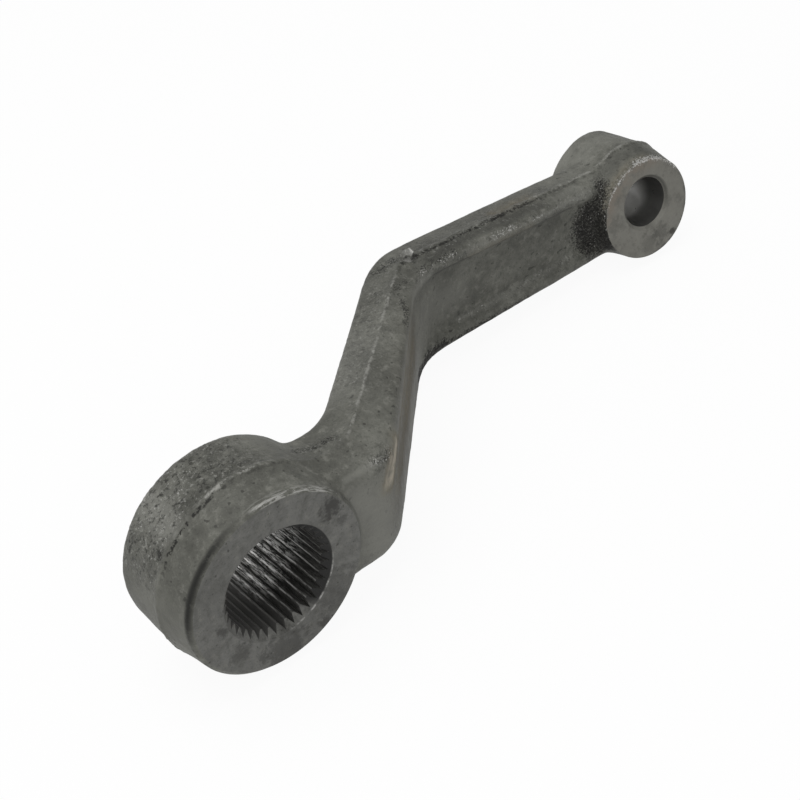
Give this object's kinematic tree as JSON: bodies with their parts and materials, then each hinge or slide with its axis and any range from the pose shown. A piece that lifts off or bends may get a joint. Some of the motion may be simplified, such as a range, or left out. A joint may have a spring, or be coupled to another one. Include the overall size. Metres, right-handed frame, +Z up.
{
  "type": "pitman arm",
  "caption": "Cranked forged steel steering arm with a serrated eye for the sector shaft and a leaning eye with a taper bore for a ball stud.",
  "frame": {"origin": "on the sector shaft axis, in the machined front face of the shaft eye", "axes": "+X along the arm from the shaft eye to the stud eye, +Y along the shaft bore from the front face to the back, +Z up as the arm lies on its side"},
  "size_m": [0.2336, 0.0869, 0.056],
  "materials": {
    "forged_steel": "as-forged dark scale, machined at the front faces and in the bores"
  },
  "bodies": {
    "root": {"pitman_arm": "forged_steel"}
  },
  "joints": []
}
